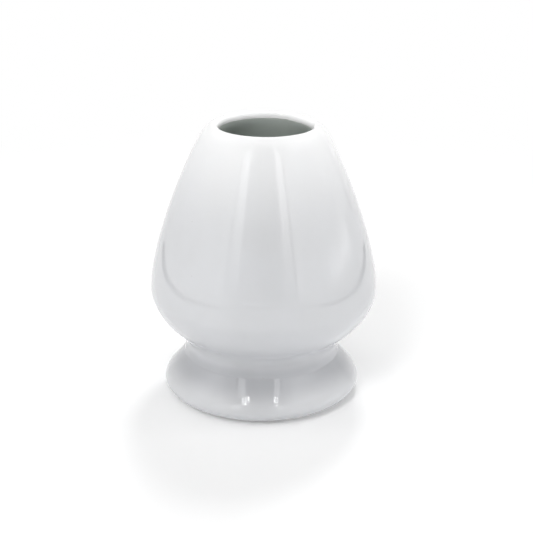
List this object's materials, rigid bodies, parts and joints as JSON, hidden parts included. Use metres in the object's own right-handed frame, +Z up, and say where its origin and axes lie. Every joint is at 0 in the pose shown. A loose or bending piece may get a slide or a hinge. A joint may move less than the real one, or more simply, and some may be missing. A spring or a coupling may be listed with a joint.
{
  "type": "tea whisk holder",
  "caption": "Free-standing porcelain holder that keeps a bamboo tea whisk in shape: a hollow bulb with a round mouth, luted to a flared hollow foot and glazed.",
  "frame": {"origin": "centre of the circle that the holder stands on, in the plane of the standing rim", "axes": "+Z up along the turning axis, through the middle of the mouth; +X to the right of the picture"},
  "size_m": [0.0654, 0.0654, 0.08],
  "materials": {
    "bisque": "bare fired porcelain, matt",
    "slip": "fired slip, matt",
    "white_glaze": "glossy white glaze",
    "liner_glaze": "smooth grey-green glaze",
    "well_glaze": "glossy white glaze"
  },
  "bodies": {
    "root": {"bulb": "bisque", "pedestal_foot": "bisque", "slip_joint": "slip", "outer_glaze": "white_glaze", "liner_glaze": "liner_glaze", "foot_well_glaze": "well_glaze"}
  },
  "joints": []
}
